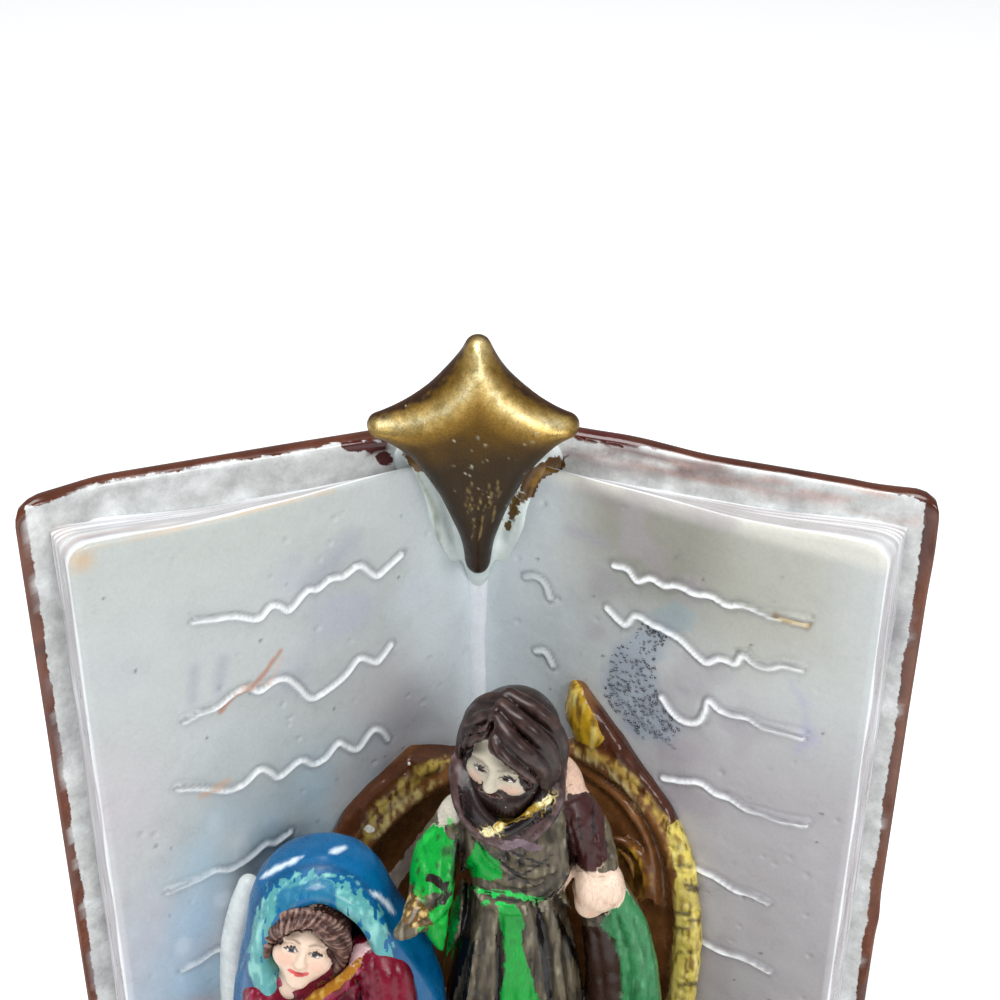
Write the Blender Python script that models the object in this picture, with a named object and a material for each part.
"""A small painted nativity figurine, cast in one piece.

An open book stands upright on a shallow ground. A four-rayed star tops its gutter, and a grotto arch, a standing
man, a kneeling woman in a hooded mantle and a swaddled infant fill the angle between the pages.
X runs along the book's width, +Y points to its back, +Z is up, and the origin is on the flat underside.
"""

import math

import bmesh
import bpy
from mathutils import Euler, Matrix, Vector

MM = 0.001

# Book
BOOK_HEIGHT = 105 * MM
COVER_WIDTH = 63 * MM
COVER_THICKNESS = 3 * MM
COVER_CORNER_RADIUS = 3.5 * MM
COVER_EDGE_RADIUS = 0.9 * MM
COVER_ANGLE = math.radians(20)
PAGE_ANGLE = math.radians(30)
PAGE_WIDTH = 59 * MM
PAGE_TOP_MARGIN = 3 * MM
PAGE_CORNER_RADIUS = 1.6 * MM
GUTTER_Y = 30 * MM
GUTTER_THICKNESS = 2.4 * MM
LEAF_COUNT = 4
LEAF_STEP = 0.5 * MM
LEAF_DROP = 0.8 * MM
LEAF_OVERLAP = 0.2 * MM
SPINE_HALF_WIDTH = 7 * MM
SPINE_BULGE = 2.2 * MM

# Raised lines on the pages: height, start and end along the page from the gutter, and number of waves
LINE_RADIUS = 0.65 * MM
LINE_WAVE = 1.0 * MM
LINE_STEP = 2.6 * MM
LINE_FEWEST_STEPS = 4
LINE_TIP_SHARE = 0.55
LINE_EVEN_SHARE = 0.6
LINE_DRIFT = 3
LEFT_LINES = (
    (87 * MM, 13 * MM, 44 * MM, 5),
    (72 * MM, 15 * MM, 47 * MM, 4),
    (58 * MM, 16 * MM, 50 * MM, 4),
    (43 * MM, 33 * MM, 51.5 * MM, 2),
    (27 * MM, 44 * MM, 51 * MM, 1),
)
RIGHT_LINES = (
    (88.5 * MM, 21 * MM, 50 * MM, 6),
    (81 * MM, 21.5 * MM, 50 * MM, 5),
    (69 * MM, 31 * MM, 51.5 * MM, 3),
    (54.5 * MM, 36 * MM, 53 * MM, 1),
    (39.5 * MM, 38 * MM, 48.5 * MM, 1),
    (26 * MM, 39.5 * MM, 52 * MM, 1),
    (79 * MM, 6 * MM, 10 * MM, 1),
    (66 * MM, 8 * MM, 11 * MM, 1),
)

# Star over the gutter
STAR_ABOVE_BOOK = 3.2 * MM
STAR_CENTRE_Z = BOOK_HEIGHT + STAR_ABOVE_BOOK
STAR_FORWARD = 6 * MM
STAR_LEFT_RAY = 15.2 * MM
STAR_RIGHT_RAY = 13.9 * MM
STAR_TOP_RAY = 13.4 * MM
STAR_BOTTOM_RAY = 23.2 * MM
STAR_FRONT_DEPTH = 4.6 * MM
STAR_BACK_DEPTH = 2.4 * MM
STAR_UPPER_HOLLOW = 2.75
STAR_LOWER_HOLLOW = 3.15
STAR_TIP_RADIUS = 1.9 * MM
STAR_TIP_STEPS = 4
STAR_FLANK_STEPS = 8
STAR_SWELL_DEGREES = (-88, -50, -20, 0, 22, 45, 66, 88)
STAR_PAD_HALF_WIDTH = 9 * MM
STAR_PAD_TIP_HALF_WIDTH = 3.5 * MM
STAR_PAD_BELOW_TIP = 1.6 * MM
STAR_PAD_SHOULDER = 1.2 * MM
STAR_PAD_FACE_SHARE = 0.7
STAR_PAD_FORWARD = 5.3 * MM
# How far up the pad each slice lies, how wide it is, and how far back its face stands
STAR_PAD_SLICES = ((0, 0.55, 1.6 * MM), (0.12, 1, 0), (0.55, 1, 0), (1, 1, 0))

# Ground
GROUND_THICKNESS = 4.5 * MM
GROUND_FRONT = 33 * MM
GROUND_SIDE = 52 * MM
GROUND_EDGE_RADIUS = 1.5 * MM
GROUND_ARC_STEPS = 16
GROUND_SQUARENESS = 0.8
FOOT_TRIM = 2 * MM

# Grotto arch behind the man, as (x, z) points and radii
ARCH_HORN = (
    (31.2 * MM, 2.5 * MM, 2.3 * MM), (31.3 * MM, 26 * MM, 2.3 * MM), (30.4 * MM, 38 * MM, 2.3 * MM),
    (28.4 * MM, 46 * MM, 2.4 * MM), (25.4 * MM, 51.6 * MM, 2.8 * MM), (21.8 * MM, 56.4 * MM, 3.3 * MM),
    (18.4 * MM, 60.4 * MM, 3.1 * MM), (16.2 * MM, 63.8 * MM, 2.2 * MM), (15.2 * MM, 66.4 * MM, 1.1 * MM),
)
ARCH_SPAN = (
    (17.4 * MM, 55.6 * MM, 1.8 * MM), (8 * MM, 52.4 * MM, 1.8 * MM), (0, 48.8 * MM, 1.8 * MM),
    (-4.6 * MM, 48.8 * MM, 2.4 * MM), (-10.2 * MM, 49.4 * MM, 3.2 * MM), (-15.6 * MM, 45.4 * MM, 3.2 * MM),
    (-19.6 * MM, 39.6 * MM, 3.2 * MM), (-22.4 * MM, 30 * MM, 3.2 * MM), (-23.4 * MM, 2.5 * MM, 3.2 * MM),
)
ARCH_WALL_TOP = (
    (-26.8 * MM, 22 * MM), (-25 * MM, 34 * MM), (-20.1 * MM, 45.6 * MM), (-10.2 * MM, 53 * MM),
    (-4.4 * MM, 50 * MM), (0, 50 * MM), (14 * MM, 56.4 * MM), (22 * MM, 57 * MM), (27.8 * MM, 50 * MM),
    (31.6 * MM, 41 * MM), (33 * MM, 26 * MM),
)
ARCH_WALL_HEIGHT = 63 * MM
ARCH_BRIDGE = 9 * MM
ARCH_WALL_LIFT = 1 * MM
ARCH_RIM_LIFT = 0.2 * MM
ARCH_WALL_STEPS = 14

# Standing man
MAN_X = 5.4 * MM
MAN_Y = 4 * MM
MAN_BELT_Z = 45.5 * MM
MAN_NECK_TOP_Z = 62 * MM
# The robe's level slices: height, half width, half depth and share of the fold depth
MAN_ROBE = (
    (2.5 * MM, 12.8 * MM, 9.4 * MM, 1), (13.6 * MM, 12.8 * MM, 9.4 * MM, 1), (27.3 * MM, 10.5 * MM, 7.9 * MM, 0.9),
    (40 * MM, 9 * MM, 7 * MM, 0.6), (MAN_BELT_Z, 7.9 * MM, 6.1 * MM, 0.2), (47.1 * MM, 8.6 * MM, 6.7 * MM, 0),
    (51.8 * MM, 9.8 * MM, 7.2 * MM, 0), (56 * MM, 9.2 * MM, 6 * MM, 0), (58.6 * MM, 5 * MM, 4.6 * MM, 0),
    (MAN_NECK_TOP_Z, 4 * MM, 3.7 * MM, 0),
)
MAN_FOLDS = 9
MAN_FOLD_DEPTH = 0.075
MAN_FOLD_PHASE = 0.6
POINTS_PER_FOLD = 6
MAN_BELT = (8.2 * MM, 6.4 * MM)
MAN_BELT_RADIUS = 0.8 * MM
MAN_HEAD_ABOVE_NECK = 7.4 * MM
MAN_HEAD = (4.2 * MM, 3.4 * MM, MAN_NECK_TOP_Z + MAN_HEAD_ABOVE_NECK)
MAN_HEAD_TURN = (math.radians(10), math.radians(8), math.radians(-24))
# Eggs of a head: name, place in the head and half sizes
MAN_HEAD_FORMS = (
    ("man_hair", (0, 1.5 * MM, 1.2 * MM), (7.1 * MM, 6.7 * MM, 7.6 * MM)),
    ("man_face", (0, -0.4 * MM, -0.8 * MM), (5.1 * MM, 5.8 * MM, 6.9 * MM)),
    ("man_nose", (0, -6.2 * MM, -1.2 * MM), (0.9 * MM, 1.2 * MM, 1.8 * MM)),
    ("man_beard", (0, -3 * MM, -5.7 * MM), (4.4 * MM, 3.5 * MM, 3.8 * MM)),
    ("man_lock_left", (-4.9 * MM, -0.2 * MM, -3.4 * MM), (2.2 * MM, 3 * MM, 5.2 * MM)),
    ("man_lock_right", (4.9 * MM, -0.2 * MM, -3.4 * MM), (2.2 * MM, 3 * MM, 5.2 * MM)),
)
MAN_COWL = (
    (3.8 * MM, -2.9 * MM, 58.7 * MM), (1.1 * MM, -2.2 * MM, 59.6 * MM), (-1 * MM, -0.9 * MM, 61.2 * MM),
    (-2.2 * MM, 1.2 * MM, 63.8 * MM), (-1.8 * MM, 5.4 * MM, 66.6 * MM), (4.2 * MM, 9.4 * MM, 68.6 * MM),
    (9.6 * MM, 6 * MM, 67.4 * MM), (10.4 * MM, 1.4 * MM, 65 * MM), (9.6 * MM, -0.8 * MM, 62.2 * MM),
    (6.9 * MM, -2.4 * MM, 59.8 * MM),
)
MAN_COWL_RADIUS = 1.7 * MM
MAN_NECK_CLOTH = ((4.2 * MM, 3.6 * MM, 60.4 * MM), (6.2 * MM, 5 * MM, 4.4 * MM))
MAN_NAPE_CLOTH = ((4.4 * MM, 7 * MM, 60.8 * MM), (6.2 * MM, 5 * MM, 6.2 * MM))
MAN_RIGHT_ARM = (
    (-2 * MM, 4 * MM, 53.6 * MM, 3.6 * MM), (-5.6 * MM, 2.4 * MM, 49 * MM, 3.8 * MM),
    (-7 * MM, -1 * MM, 44.6 * MM, 3.4 * MM), (-7.8 * MM, -4 * MM, 43 * MM, 2.9 * MM),
)
MAN_RIGHT_HAND = ((-8.8 * MM, -6.4 * MM, 43 * MM), (2 * MM, 2.8 * MM, 1.7 * MM))
MAN_SLEEVE_DRAPE = (
    (-5.6 * MM, 1 * MM, 47 * MM, 3.4 * MM), (-5.4 * MM, 0.6 * MM, 40 * MM, 2.9 * MM),
    (-4.8 * MM, 1 * MM, 34 * MM, 1.1 * MM),
)
MAN_LEFT_ARM = (
    (13 * MM, 5 * MM, 54 * MM, 3.6 * MM), (15.6 * MM, 4.6 * MM, 50 * MM, 3.4 * MM),
    (16.6 * MM, 3 * MM, 47 * MM, 2.9 * MM),
)
MAN_LEFT_HAND = ((17.2 * MM, 1.4 * MM, 43.6 * MM), (3.1 * MM, 3.1 * MM, 4.2 * MM))
MAN_CLOAK = (
    (16.2 * MM, 5.4 * MM, 44.6 * MM, 3 * MM), (19.8 * MM, 6 * MM, 33.6 * MM, 4.6 * MM),
    (21 * MM, 6.2 * MM, 19.6 * MM, 5 * MM), (20.6 * MM, 5.8 * MM, 2.5 * MM, 4.8 * MM),
)

# Kneeling woman: the mantle's level slices as (z, x, y, half width, half depth)
WOMAN_MANTLE = (
    (2.5 * MM, -20.4 * MM, -3 * MM, 16.2 * MM, 14.4 * MM), (12 * MM, -20.4 * MM, -3 * MM, 16.2 * MM, 14.2 * MM),
    (22 * MM, -20.2 * MM, -2 * MM, 15.9 * MM, 12.6 * MM), (30 * MM, -20.1 * MM, -0.4 * MM, 15.1 * MM, 11 * MM),
    (35 * MM, -20.4 * MM, 0.4 * MM, 13.8 * MM, 10.4 * MM), (40 * MM, -21.2 * MM, 0.8 * MM, 12 * MM, 10 * MM),
    (45 * MM, -22 * MM, 0.9 * MM, 10.4 * MM, 9.3 * MM), (48.4 * MM, -22 * MM, 1 * MM, 9.2 * MM, 8.2 * MM),
    (51 * MM, -21.8 * MM, 1.1 * MM, 7.4 * MM, 6.4 * MM), (52.6 * MM, -21.4 * MM, 1.2 * MM, 5 * MM, 4.4 * MM),
    (53.6 * MM, -21.2 * MM, 1.2 * MM, 1.6 * MM, 1.5 * MM),
)
WOMAN_DRESS = (
    (2.5 * MM, -21.2 * MM, -9.4 * MM, 10.4 * MM, 9.6 * MM), (13 * MM, -21.2 * MM, -8.8 * MM, 10.6 * MM, 9.2 * MM),
    (20 * MM, -21.2 * MM, -6.4 * MM, 10.6 * MM, 8.4 * MM), (27 * MM, -21.2 * MM, -4.4 * MM, 9.8 * MM, 7 * MM),
    (32.4 * MM, -21.2 * MM, -3.2 * MM, 9.6 * MM, 6 * MM), (35.2 * MM, -21.2 * MM, -2.6 * MM, 7 * MM, 5.2 * MM),
    (38.4 * MM, -21.2 * MM, -2.2 * MM, 4 * MM, 4 * MM),
)
WOMAN_MANTLE_FOLDS = 7
WOMAN_MANTLE_FOLD_DEPTH = 0.02
WOMAN_DRESS_FOLDS = 11
WOMAN_DRESS_FOLD_DEPTH = 0.03
WOMAN_FOLDS_BELOW_Z = 24 * MM
WOMAN_HOOD_HOLLOW = ((-22 * MM, -10.4 * MM, 41.6 * MM), (9 * MM, 9.6 * MM, 11.4 * MM))
WOMAN_HEAD_HOLLOW = ((-22 * MM, -2.4 * MM, 42 * MM), (7.9 * MM, 6.6 * MM, 8.4 * MM))
WOMAN_LAP_HOLLOW = ((-21.2 * MM, -13.2 * MM, 26 * MM), (11.1 * MM, 9.5 * MM, 15.7 * MM))
WOMAN_HOOD_RIM = (
    (-33.2 * MM, -1.4 * MM, 27 * MM, 1.1 * MM), (-32.2 * MM, -4.2 * MM, 35 * MM, 1.2 * MM),
    (-30.5 * MM, -5.1 * MM, 41.2 * MM, 1.2 * MM), (-28 * MM, -5.2 * MM, 46.4 * MM, 1.4 * MM),
    (-22.2 * MM, -4.4 * MM, 50.6 * MM, 1.6 * MM), (-16.6 * MM, -4.6 * MM, 47.6 * MM, 1.6 * MM),
    (-12.8 * MM, -4.6 * MM, 42 * MM, 1.5 * MM), (-9.4 * MM, -4.4 * MM, 35 * MM, 1.5 * MM),
    (-6.6 * MM, -3.4 * MM, 27 * MM, 1.3 * MM),
)
WOMAN_HEAD = (-22 * MM, -3.4 * MM, 40.6 * MM)
WOMAN_HEAD_TURN = (math.radians(-14), math.radians(12), math.radians(-6))
WOMAN_HEAD_FORMS = (
    ("woman_hair", (0, 1.6 * MM, MM), (6.8 * MM, 6.2 * MM, 6.3 * MM)),
    ("woman_face", (0, -0.3 * MM, -0.8 * MM), (4.8 * MM, 5.4 * MM, 6.4 * MM)),
    ("woman_nose", (0, -5.6 * MM, -1.2 * MM), (0.8 * MM, 1 * MM, 1.4 * MM)),
)
WOMAN_NECK = ((-22 * MM, -2.8 * MM, 34.2 * MM), (3.6 * MM, 3.8 * MM, 4 * MM))
WOMAN_LEFT_ARM = (
    (-13.8 * MM, -4.4 * MM, 37.2 * MM, 4.3 * MM), (-12.2 * MM, -8.8 * MM, 28.6 * MM, 3.5 * MM),
    (-16.6 * MM, -13.4 * MM, 26.4 * MM, 2.8 * MM), (-20 * MM, -15 * MM, 27.2 * MM, 2.1 * MM),
)
WOMAN_RIGHT_ARM = (
    (-29.8 * MM, -4 * MM, 32 * MM, 3.5 * MM), (-30.2 * MM, -8.8 * MM, 26.2 * MM, 3.3 * MM),
    (-26 * MM, -13.4 * MM, 25.6 * MM, 2.8 * MM), (-22.6 * MM, -15 * MM, 27 * MM, 2.1 * MM),
)
WOMAN_HANDS = (
    (-21.6 * MM, -15.4 * MM, 27 * MM, 1.8 * MM), (-21.3 * MM, -17.2 * MM, 30.2 * MM, 1.6 * MM),
    (-21.2 * MM, -17.6 * MM, 32.4 * MM, 0.9 * MM),
)
MANTLE_FOLD = (
    (-37.4 * MM, 7.4 * MM, 2.5 * MM, 1.7 * MM), (-37.2 * MM, 7.6 * MM, 18 * MM, 1.6 * MM),
    (-36.2 * MM, 8 * MM, 30 * MM, 1.5 * MM), (-34.6 * MM, 8.2 * MM, 38 * MM, 1.4 * MM),
    (-33.6 * MM, 7.6 * MM, 43.8 * MM, 1.1 * MM),
)

# Infant on straw, in front of the two figures
STRAW = ((1.5 * MM, -20 * MM, 5.2 * MM), (11 * MM, 7 * MM, 4.8 * MM))
STRAW_TURN = math.radians(12)
INFANT_BODY = (
    (-4.6 * MM, -21.2 * MM, 11.2 * MM, 2.9 * MM), (0.2 * MM, -20.2 * MM, 11.3 * MM, 3.2 * MM),
    (4.4 * MM, -19.4 * MM, 10.8 * MM, 2.9 * MM), (8 * MM, -18.6 * MM, 10.2 * MM, 1.8 * MM),
)
INFANT_HEAD = (-6 * MM, -21.6 * MM, 12.2 * MM)
INFANT_HEAD_RADIUS = 3.1 * MM

# How many points round a ring: a small detail, a limb, a body
FEW_POINTS = 12
SOME_POINTS = 20
MANY_POINTS = 33
SMALL_EGG = 5.5 * MM

PAINT = (0.72, 0.72, 0.74, 1)
PAINT_ROUGHNESS = 0.32
SAME_PLACE = MM / 100


def clear_scene():
    for old in list(bpy.data.objects):
        bpy.data.objects.remove(old, do_unlink=True)


def new_collection(name):
    made = bpy.data.collections.new(name)
    bpy.context.scene.collection.children.link(made)
    return made


def add_object(name, mesh, collection):
    obj = bpy.data.objects.new(name, mesh)
    collection.objects.link(obj)
    return obj


def add_form(name, bm):
    """A closed form that is fused into the casting, and is not a piece of its own."""
    bmesh.ops.recalc_face_normals(bm, faces=bm.faces)
    mesh = bpy.data.meshes.new(name)
    bm.to_mesh(mesh)
    bm.free()
    obj = add_object(name, mesh, FORMS)
    return as_helper(obj)


def as_helper(obj):
    obj.hide_render = True
    obj.display_type = "WIRE"
    return obj


def page_y(x, angle=PAGE_ANGLE, start=GUTTER_Y):
    """Depth of a page surface at x. Both pages fall forward from the gutter."""
    return start - abs(x) * math.tan(angle)


def on_page(side, along, height, lift=0.0):
    """A point on a page: side is -1 or 1, along runs from the gutter, lift is out of the paper."""
    x = side * (along * math.cos(PAGE_ANGLE) - lift * math.sin(PAGE_ANGLE))
    y = GUTTER_Y - along * math.sin(PAGE_ANGLE) - lift * math.cos(PAGE_ANGLE)
    return Vector((x, y, height))


def prism(outline, low, high):
    """A plan outline raised from low to high."""
    bm = bmesh.new()
    face = bm.faces.new([bm.verts.new((x, y, low)) for x, y in outline])
    raised = bmesh.ops.extrude_face_region(bm, geom=[face])["geom"]
    moved = [v for v in raised if isinstance(v, bmesh.types.BMVert)]
    bmesh.ops.translate(bm, vec=(0, 0, high - low), verts=moved)
    return bm


def loft(rings):
    """A closed skin through rings that have the same number of points, capped at both ends."""
    bm = bmesh.new()
    loops = [[bm.verts.new(point) for point in ring] for ring in rings]
    for low, high in zip(loops, loops[1:]):
        for i in range(len(low)):
            following = (i + 1) % len(low)
            bm.faces.new((low[i], low[following], high[following], high[i]))
    bm.faces.new(list(reversed(loops[0])))
    bm.faces.new(loops[-1])
    return bm


def ring(centre, half_sizes, points, folds=0, fold_depth=0.0, phase=0.0):
    """A level elliptical ring, waved in and out where cloth hangs in folds."""
    made = []
    for i in range(points):
        turn = math.tau * i / points
        swell = 1 + fold_depth * math.cos(folds * turn + phase)
        offset = Vector((half_sizes[0] * math.cos(turn), half_sizes[1] * math.sin(turn), 0))
        made.append(Vector(centre) + offset * swell)
    return made


def egg(name, centre, half_sizes, turn=(0, 0, 0), around=16, rows=10):
    bm = bmesh.new()
    bmesh.ops.create_uvsphere(bm, u_segments=around, v_segments=rows, radius=1)
    size = Matrix.Diagonal((*half_sizes, 1))
    bm.transform(Matrix.Translation(centre) @ Euler(turn).to_matrix().to_4x4() @ size)
    return add_form(name, bm)


def tube(name, points, radii, roundness=2, smooth=3, closed=False):
    """A round limb, rim or bead along a smooth path, made a mesh so that it can be fused."""
    curve = bpy.data.curves.new(name, "CURVE")
    curve.dimensions = "3D"
    curve.bevel_depth = 1
    curve.bevel_resolution = roundness
    curve.use_fill_caps = True
    curve.resolution_u = smooth
    spline = curve.splines.new("NURBS" if smooth > 1 else "POLY")
    spline.points.add(len(points) - 1)
    for knot, point, radius in zip(spline.points, points, radii):
        knot.co = (*point, 1)
        knot.radius = radius
    spline.use_cyclic_u = closed
    if smooth > 1:
        spline.order_u = 3
        spline.use_endpoint_u = not closed
    guide = add_object(name + "_path", curve, FORMS)
    bpy.context.view_layer.update()
    evaluated = guide.evaluated_get(bpy.context.evaluated_depsgraph_get())
    bm = bmesh.new()
    bm.from_mesh(bpy.data.meshes.new_from_object(evaluated))
    bmesh.ops.remove_doubles(bm, verts=bm.verts, dist=0.00001)
    bpy.data.objects.remove(guide, do_unlink=True)
    return add_form(name, bm)


def limb(name, joints, roundness=2, smooth=3):
    """A tube from joints given as (x, y, z, radius)."""
    return tube(name, [joint[:3] for joint in joints], [joint[3] for joint in joints], roundness, smooth)


def slices(rows, folds, fold_depth, points):
    """Level rings from (z, x, y, half width, half depth) rows. Only the cloth that hangs low has folds."""
    return [
        ring((x, y, z), (half_x, half_y), points, folds, fold_depth if z < WOMAN_FOLDS_BELOW_Z else 0)
        for z, x, y, half_x, half_y in rows
    ]


def hollow_out(form, name, centre, half_sizes):
    """Cuts an egg-shaped hollow into a form."""
    hollow = egg(name, centre, half_sizes, around=SOME_POINTS, rows=FEW_POINTS)
    FORMS.objects.unlink(hollow)
    CUTTERS.objects.link(hollow)
    cut_from(form, hollow)


def cut_from(form, cutter):
    cut = form.modifiers.new("cut_" + cutter.name, "BOOLEAN")
    cut.operation = "DIFFERENCE"
    cut.object = cutter


# Book


def cover_board(side):
    """One cover: a board with rounded corners and softened edges, hinged at the spine."""
    width = COVER_WIDTH
    height = BOOK_HEIGHT + FOOT_TRIM
    bm = bmesh.new()
    bmesh.ops.create_cube(bm, size=1)
    bmesh.ops.scale(bm, vec=(width, COVER_THICKNESS, height), verts=bm.verts)
    corners = [
        e for e in bm.edges
        if abs(e.verts[0].co.y - e.verts[1].co.y) > COVER_THICKNESS / 2 and e.verts[0].co.x > 0
    ]
    bmesh.ops.bevel(bm, geom=corners, offset=COVER_CORNER_RADIUS, segments=4, affect="EDGES", profile=0.5)
    rims = [e for e in bm.edges if abs(e.verts[0].co.y - e.verts[1].co.y) < COVER_THICKNESS / 2]
    bmesh.ops.bevel(bm, geom=rims, offset=COVER_EDGE_RADIUS, segments=2, affect="EDGES", profile=0.5)
    bmesh.ops.translate(bm, vec=(width / 2, COVER_THICKNESS / 2, height / 2 - FOOT_TRIM), verts=bm.verts)
    hinge = Matrix.Translation((0, GUTTER_Y + GUTTER_THICKNESS, 0)) @ Matrix.Rotation(-COVER_ANGLE, 4, "Z")
    bm.transform(Matrix.Diagonal((side, 1, 1, 1)) @ hinge)
    return add_form(f"cover_{'left' if side < 0 else 'right'}", bm)


def page_leaf(side, index):
    """One leaf of the fanned page block: a wedge between two of the lines that fan out from the gutter."""
    inset = LEAF_STEP * (index % 2)
    bounds = []
    for edge in (index, index + 1):
        share = edge / LEAF_COUNT
        angle = COVER_ANGLE + (PAGE_ANGLE - COVER_ANGLE) * share
        start = GUTTER_Y + GUTTER_THICKNESS * (1 - share)
        reach = PAGE_WIDTH - inset
        bounds.append(((0, start), (reach * math.cos(angle), start - reach * math.sin(angle))))
    (back_gutter, back_fore), (front_gutter, front_fore) = bounds
    sunk = LEAF_OVERLAP * (1 if index else 2)
    outline = [
        (-LEAF_OVERLAP, back_gutter[1] + sunk),
        (back_fore[0], back_fore[1] + sunk),
        front_fore,
        (-LEAF_OVERLAP, front_gutter[1]),
    ]
    drop = LEAF_DROP * (LEAF_COUNT - 1 - index)
    bm = prism(outline, -FOOT_TRIM, BOOK_HEIGHT - PAGE_TOP_MARGIN - inset - drop)
    if index == LEAF_COUNT - 1:
        front = [
            e for e in bm.edges
            if all(abs(v.co.y - front_fore[1]) < SAME_PLACE for v in e.verts)
        ]
        top_front = [
            e for e in bm.edges
            if all(v.co.z > 0 for v in e.verts)
            and {round(v.co.y / MM, 3) for v in e.verts}
            == {round(front_fore[1] / MM, 3), round(front_gutter[1] / MM, 3)}
        ]
        bmesh.ops.bevel(bm, geom=front + top_front, offset=PAGE_CORNER_RADIUS / 2, segments=2, affect="EDGES")
    bm.transform(Matrix.Diagonal((side, 1, 1, 1)))
    return add_form(f"leaf_{'left' if side < 0 else 'right'}_{index + 1}", bm)


def spine():
    """The rounded back of the book, which joins the two covers."""
    back = GUTTER_Y + GUTTER_THICKNESS + COVER_THICKNESS
    depth = SPINE_BULGE + COVER_THICKNESS
    centre_y = back + SPINE_BULGE - depth
    rings = [
        ring((0, centre_y, z), (SPINE_HALF_WIDTH, depth), SOME_POINTS)
        for z in (-FOOT_TRIM, BOOK_HEIGHT - COVER_EDGE_RADIUS)
    ]
    return add_form("spine", loft(rings))


def raised_line(side, index, height, start, end, waves):
    """One wavy line of relief on a page, half sunk into the paper."""
    steps = max(LINE_FEWEST_STEPS, round((end - start) / LINE_STEP))
    points = []
    for i in range(steps + 1):
        share = i / steps
        wave = math.sin(math.tau * waves * share + index)
        drift = LINE_EVEN_SHARE + (1 - LINE_EVEN_SHARE) * math.sin(LINE_DRIFT * share + index)
        swing = LINE_WAVE * wave * drift
        points.append(on_page(side, start + (end - start) * share, height + swing))
    tapered = [LINE_RADIUS * (LINE_TIP_SHARE if i in (0, steps) else 1) for i in range(steps + 1)]
    name = f"line_{'left' if side < 0 else 'right'}_{index + 1}"
    return tube(name, points, tapered, roundness=1, smooth=1)


def book():
    for side in (-1, 1):
        cover_board(side)
        for index in range(LEAF_COUNT):
            page_leaf(side, index)
    for side, lines in ((-1, LEFT_LINES), (1, RIGHT_LINES)):
        for index, line in enumerate(lines):
            raised_line(side, index, *line)


# Star


def star_outline():
    """A four-rayed star with hollow flanks, swollen all round so that its cusps become blunt tips."""
    rays = [
        ray - STAR_TIP_RADIUS for ray in (STAR_RIGHT_RAY, STAR_TOP_RAY, STAR_LEFT_RAY, STAR_BOTTOM_RAY)
    ]
    points = []
    for quarter in range(4):
        side = rays[0] if quarter in (0, 3) else rays[2]
        reach = rays[1] if quarter < 2 else rays[3]
        hollow = STAR_UPPER_HOLLOW if quarter < 2 else STAR_LOWER_HOLLOW
        start = quarter * math.pi / 2
        tip = Vector((math.cos(start), 0, math.sin(start))) * rays[quarter]
        for i in range(STAR_TIP_STEPS + 1):
            turn = start + math.pi * (i / STAR_TIP_STEPS - 0.5)
            points.append(tip + Vector((math.cos(turn), 0, math.sin(turn))) * STAR_TIP_RADIUS)
        for i in range(1, STAR_FLANK_STEPS):
            turn = start + math.pi / 2 * i / STAR_FLANK_STEPS
            c, s = math.cos(turn), math.sin(turn)
            flank = Vector((math.copysign(side * abs(c) ** hollow, c), 0, math.copysign(reach * abs(s) ** hollow, s)))
            outward = Vector((
                math.copysign(abs(c) ** (2 - hollow) / side, c), 0, math.copysign(abs(s) ** (2 - hollow) / reach, s),
            ))
            points.append(flank + outward.normalized() * STAR_TIP_RADIUS)
    return points


def star():
    """A plump star: every ray swells from its outline to a ridge, like a small pillow."""
    centre = Vector((0, GUTTER_Y - STAR_FORWARD, STAR_CENTRE_Z))
    outline = star_outline()
    rings = []
    for degrees in STAR_SWELL_DEGREES:
        lean = math.radians(degrees)
        depth = -math.sin(lean) * (STAR_FRONT_DEPTH if degrees > 0 else STAR_BACK_DEPTH)
        rings.append([centre + point * math.cos(lean) + Vector((0, depth, 0)) for point in outline])
    add_form("star", loft(rings))


def star_pad():
    """The tapering pad that carries the star's long lower ray out of the gutter."""
    low_z = STAR_CENTRE_Z - STAR_BOTTOM_RAY - STAR_PAD_BELOW_TIP
    top_z = BOOK_HEIGHT - PAGE_TOP_MARGIN / 2
    back = GUTTER_Y + GUTTER_THICKNESS / 2
    rings = []
    for share, width_share, step_back in STAR_PAD_SLICES:
        half = width_share * (STAR_PAD_TIP_HALF_WIDTH + (STAR_PAD_HALF_WIDTH - STAR_PAD_TIP_HALF_WIDTH) * share)
        face = half * STAR_PAD_FACE_SHARE
        front = GUTTER_Y - STAR_PAD_FORWARD + step_back
        shoulder = front + STAR_PAD_SHOULDER
        z = low_z + (top_z - low_z) * share
        corners = ((-half, shoulder), (-face, front), (face, front), (half, shoulder), (half, back), (-half, back))
        rings.append([Vector((x, y, z)) for x, y in corners])
    add_form("star_pad", loft(rings))


# Ground


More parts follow.
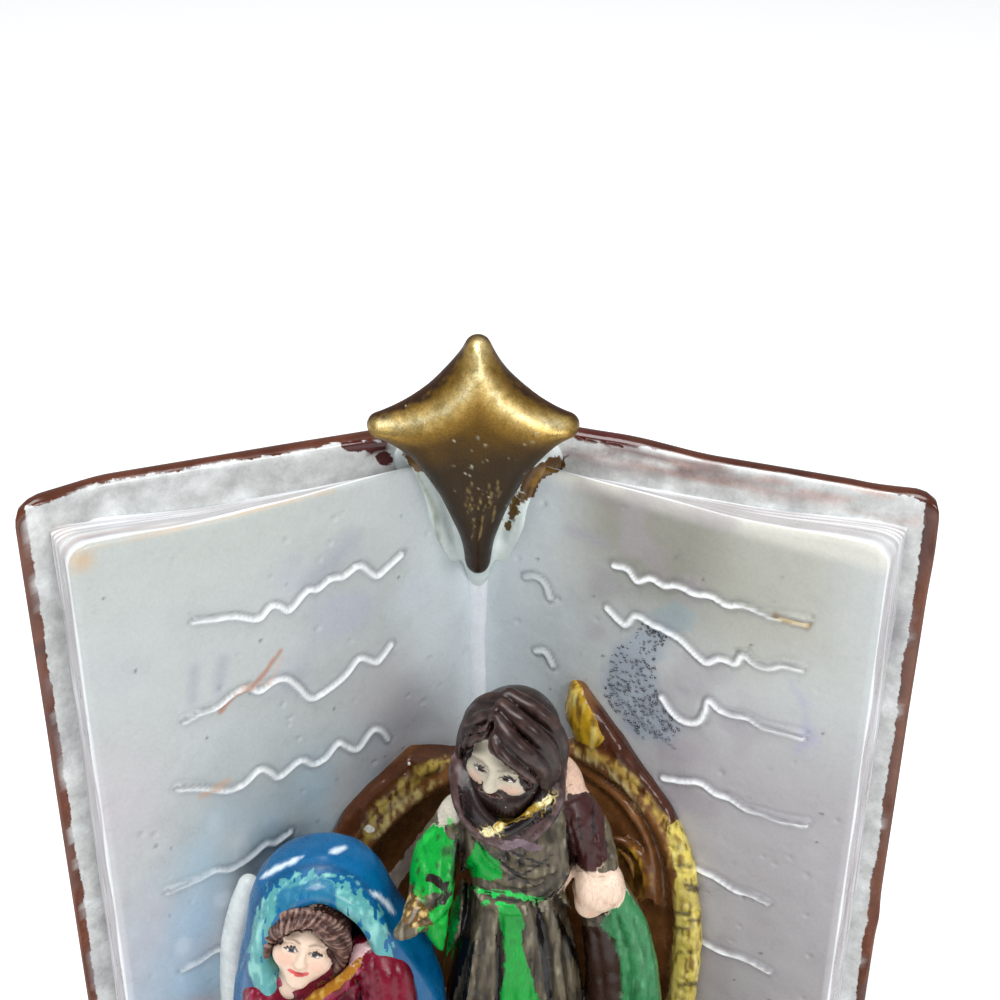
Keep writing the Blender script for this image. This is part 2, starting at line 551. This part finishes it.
def ground():
    """A shallow slab that closes the angle between the pages, with a round front edge."""
    back = page_y(GROUND_SIDE, COVER_ANGLE, GUTTER_Y + GUTTER_THICKNESS + COVER_THICKNESS / 2)
    arc = []
    for i in range(GROUND_ARC_STEPS + 1):
        turn = math.pi * i / GROUND_ARC_STEPS
        reach = math.sin(turn) ** GROUND_SQUARENESS
        arc.append((-GROUND_SIDE * math.cos(turn), back - (GROUND_FRONT + back) * reach))
    outline = arc + [(0, GUTTER_Y + GUTTER_THICKNESS)]
    bm = prism(outline, -FOOT_TRIM, GROUND_THICKNESS)
    top_edges = [
        e for e in bm.edges
        if all(v.co.z > GROUND_THICKNESS / 2 for v in e.verts)
        and all(v.co.y < back + MM for v in e.verts)
    ]
    bmesh.ops.bevel(bm, geom=top_edges, offset=GROUND_EDGE_RADIUS, segments=3, affect="EDGES")
    add_form("ground", bm)


# Grotto arch


def arch_front(x):
    """Depth of the pages at x, bridged smoothly over the gutter."""
    return GUTTER_Y - math.hypot(x, ARCH_BRIDGE) * math.tan(PAGE_ANGLE)


def arch_rim(name, path):
    joints = [(x, arch_front(x) - ARCH_RIM_LIFT, z, radius) for x, z, radius in path]
    limb(name, joints, smooth=2)


def arch():
    """A thick rim on the pages, with a raised horn on the right and a hollow wall inside."""
    arch_rim("arch_horn", ARCH_HORN)
    arch_rim("arch_span", ARCH_SPAN)
    arch_wall()


def arch_wall():
    """The wall inside the rim: a plan outline raised from the ground and cut to the arch's outline."""
    left, right = ARCH_WALL_TOP[0][0], ARCH_WALL_TOP[-1][0]
    arc = []
    for i in range(ARCH_WALL_STEPS + 1):
        x = left + (right - left) * i / ARCH_WALL_STEPS
        arc.append((x, arch_front(x) - ARCH_WALL_LIFT))
    behind = [(x, page_y(x) + GUTTER_THICKNESS / 2) for x in (right, 0, left)]
    wall = add_form("arch_wall", prism(arc + behind, -FOOT_TRIM, ARCH_WALL_HEIGHT))
    reach = COVER_WIDTH
    far = 2 * reach
    low_left, low_right = (-reach, ARCH_WALL_TOP[0][1]), (reach, ARCH_WALL_TOP[-1][1])
    edge = [low_left, *ARCH_WALL_TOP, low_right, (reach, far), (-reach, far)]
    bm = bmesh.new()
    face = bm.faces.new([bm.verts.new((x, -reach, z)) for x, z in edge])
    pushed = bmesh.ops.extrude_face_region(bm, geom=[face])["geom"]
    bmesh.ops.translate(bm, vec=(0, far, 0), verts=[v for v in pushed if isinstance(v, bmesh.types.BMVert)])
    bmesh.ops.recalc_face_normals(bm, faces=bm.faces)
    mesh = bpy.data.meshes.new("above_arch")
    bm.to_mesh(mesh)
    bm.free()
    cut_from(wall, as_helper(add_object("above_arch", mesh, CUTTERS)))


# Standing man


def man_robe():
    """The robe: deep folds below the belt, a nipped waist, and a smooth chest that closes at the neck."""
    points = MAN_FOLDS * POINTS_PER_FOLD
    rings = [
        ring((MAN_X, MAN_Y, z), half_sizes, points, MAN_FOLDS, MAN_FOLD_DEPTH * share, MAN_FOLD_PHASE)
        for z, *half_sizes, share in MAN_ROBE
    ]
    add_form("man_robe", loft(rings))


def man_belt():
    points = ring((MAN_X, MAN_Y, MAN_BELT_Z), MAN_BELT, SOME_POINTS)
    tube("man_belt", points, [MAN_BELT_RADIUS] * len(points), roundness=1, smooth=1, closed=True)


def head(place, turn, forms):
    """A head's eggs, all turned together about its middle."""
    facing = Euler(turn).to_matrix()
    for name, offset, half_sizes in forms:
        around = SOME_POINTS if max(half_sizes) > SMALL_EGG else FEW_POINTS
        egg(name, Vector(place) + facing @ Vector(offset), half_sizes, turn, around, rows=around // 2 + 2)


def man_cowl():
    """The scarf that lies round the neck, lower in front than behind."""
    tube("man_cowl", MAN_COWL, [MAN_COWL_RADIUS] * len(MAN_COWL), smooth=1, closed=True)
    egg("man_neck_cloth", *MAN_NECK_CLOTH, rows=8)
    egg("man_nape_cloth", *MAN_NAPE_CLOTH, around=14, rows=8)


def man_arms():
    """One sleeve reaches down to the woman's hood, and the other is bent, with a fist on the cloak."""
    limb("man_right_sleeve", MAN_RIGHT_ARM)
    egg("man_right_hand", *MAN_RIGHT_HAND, around=FEW_POINTS, rows=8)
    limb("man_sleeve_drape", MAN_SLEEVE_DRAPE)
    limb("man_left_sleeve", MAN_LEFT_ARM)
    egg("man_left_hand", *MAN_LEFT_HAND, around=14)
    limb("man_cloak_fall", MAN_CLOAK)


# Kneeling woman


def woman_mantle():
    """The mantle and hood in one: it spreads at the knees and closes over the head, hollowed in front."""
    rings = slices(WOMAN_MANTLE, WOMAN_MANTLE_FOLDS, WOMAN_MANTLE_FOLD_DEPTH, MANY_POINTS)
    mantle = add_form("woman_mantle", loft(rings))
    hollow_out(mantle, "hood_hollow", *WOMAN_HOOD_HOLLOW)
    hollow_out(mantle, "head_hollow", *WOMAN_HEAD_HOLLOW)
    hollow_out(mantle, "lap_hollow", *WOMAN_LAP_HOLLOW)
    limb("hood_rim", WOMAN_HOOD_RIM, smooth=2)
    limb("mantle_fold", MANTLE_FOLD, smooth=2)


def woman_dress():
    """The dress that shows in the mantle's opening, with two sleeves that meet at the joined hands."""
    add_form("woman_dress", loft(slices(WOMAN_DRESS, WOMAN_DRESS_FOLDS, WOMAN_DRESS_FOLD_DEPTH, MANY_POINTS)))
    limb("woman_left_sleeve", WOMAN_LEFT_ARM)
    limb("woman_right_sleeve", WOMAN_RIGHT_ARM)
    limb("woman_hands", WOMAN_HANDS)


# Infant


def infant():
    """A swaddled infant on a low bed of straw."""
    egg("straw", *STRAW, (0, 0, STRAW_TURN), around=SOME_POINTS, rows=FEW_POINTS)
    limb("infant_body", INFANT_BODY)
    egg("infant_head", INFANT_HEAD, (INFANT_HEAD_RADIUS,) * 3, around=16, rows=10)


# Casting


def fuse():
    """Joins every form to the spine and trims the foot flat, so that the casting is one solid."""
    body = spine()
    FORMS.objects.unlink(body)
    CASTING.objects.link(body)
    body.name = "nativity_casting"
    body.hide_render = False
    body.display_type = "TEXTURED"
    join = body.modifiers.new("fuse_forms", "BOOLEAN")
    join.operation = "UNION"
    join.operand_type = "COLLECTION"
    join.collection = FORMS
    bm = bmesh.new()
    bmesh.ops.create_cube(bm, size=1)
    reach = 4 * COVER_WIDTH
    bmesh.ops.scale(bm, vec=(reach, reach, 4 * FOOT_TRIM), verts=bm.verts)
    bmesh.ops.translate(bm, vec=(0, 0, -2 * FOOT_TRIM), verts=bm.verts)
    mesh = bpy.data.meshes.new("below_foot")
    bm.to_mesh(mesh)
    bm.free()
    cut_from(body, as_helper(add_object("below_foot", mesh, CUTTERS)))
    return body


def paint(obj):
    material = bpy.data.materials.new("painted_resin")
    material.use_nodes = True
    shader = material.node_tree.nodes["Principled BSDF"]
    shader.inputs["Base Color"].default_value = PAINT
    shader.inputs["Roughness"].default_value = PAINT_ROUGHNESS
    obj.data.materials.append(material)


clear_scene()
CASTING = new_collection("nativity_figurine")
FORMS = new_collection("forms")
CUTTERS = new_collection("cutters")
book()
star()
star_pad()
ground()
arch()
man_robe()
man_belt()
head(MAN_HEAD, MAN_HEAD_TURN, MAN_HEAD_FORMS)
man_cowl()
man_arms()
woman_mantle()
head(WOMAN_HEAD, WOMAN_HEAD_TURN, WOMAN_HEAD_FORMS)
egg("woman_neck", *WOMAN_NECK, around=FEW_POINTS, rows=8)
woman_dress()
infant()
paint(fuse())
